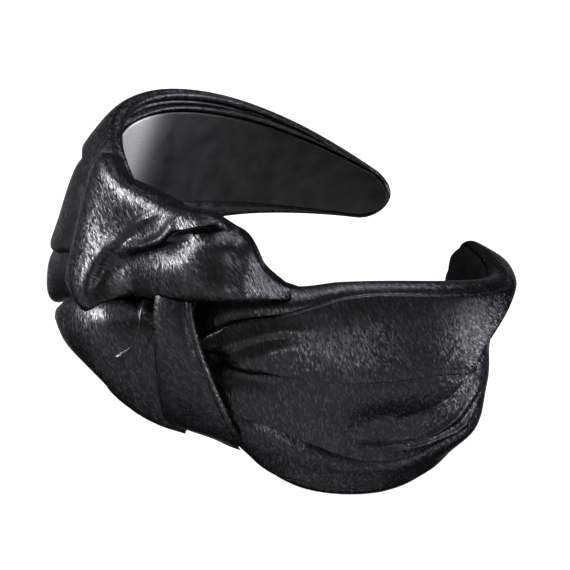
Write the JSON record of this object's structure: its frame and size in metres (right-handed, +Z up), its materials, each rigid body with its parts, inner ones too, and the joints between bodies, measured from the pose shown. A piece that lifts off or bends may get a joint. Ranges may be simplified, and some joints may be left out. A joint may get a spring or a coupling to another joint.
{
  "type": "top knot headband",
  "caption": "Padded satin hair band with wide gathered arms that taper to open tips, a cloth lining inside and a folded knot with a crossing strap, lying on its side.",
  "frame": {"origin": "middle of the underside of the whole band, on the surface it lies on", "axes": "+X from the knot to the open tips, +Y to the arm that lies further from the picture's camera, +Z up as the band lies on its side"},
  "size_m": [0.181, 0.1578, 0.0789],
  "materials": {
    "satin": "black satin weave with a soft sheen",
    "lining": "black matte cloth"
  },
  "bodies": {
    "root": {"lining": "lining", "near_arm_wrap": "satin", "far_arm_wrap": "satin", "knot_upper_fold": "satin", "knot_lower_fold": "satin", "knot_strap": "satin"}
  },
  "joints": []
}
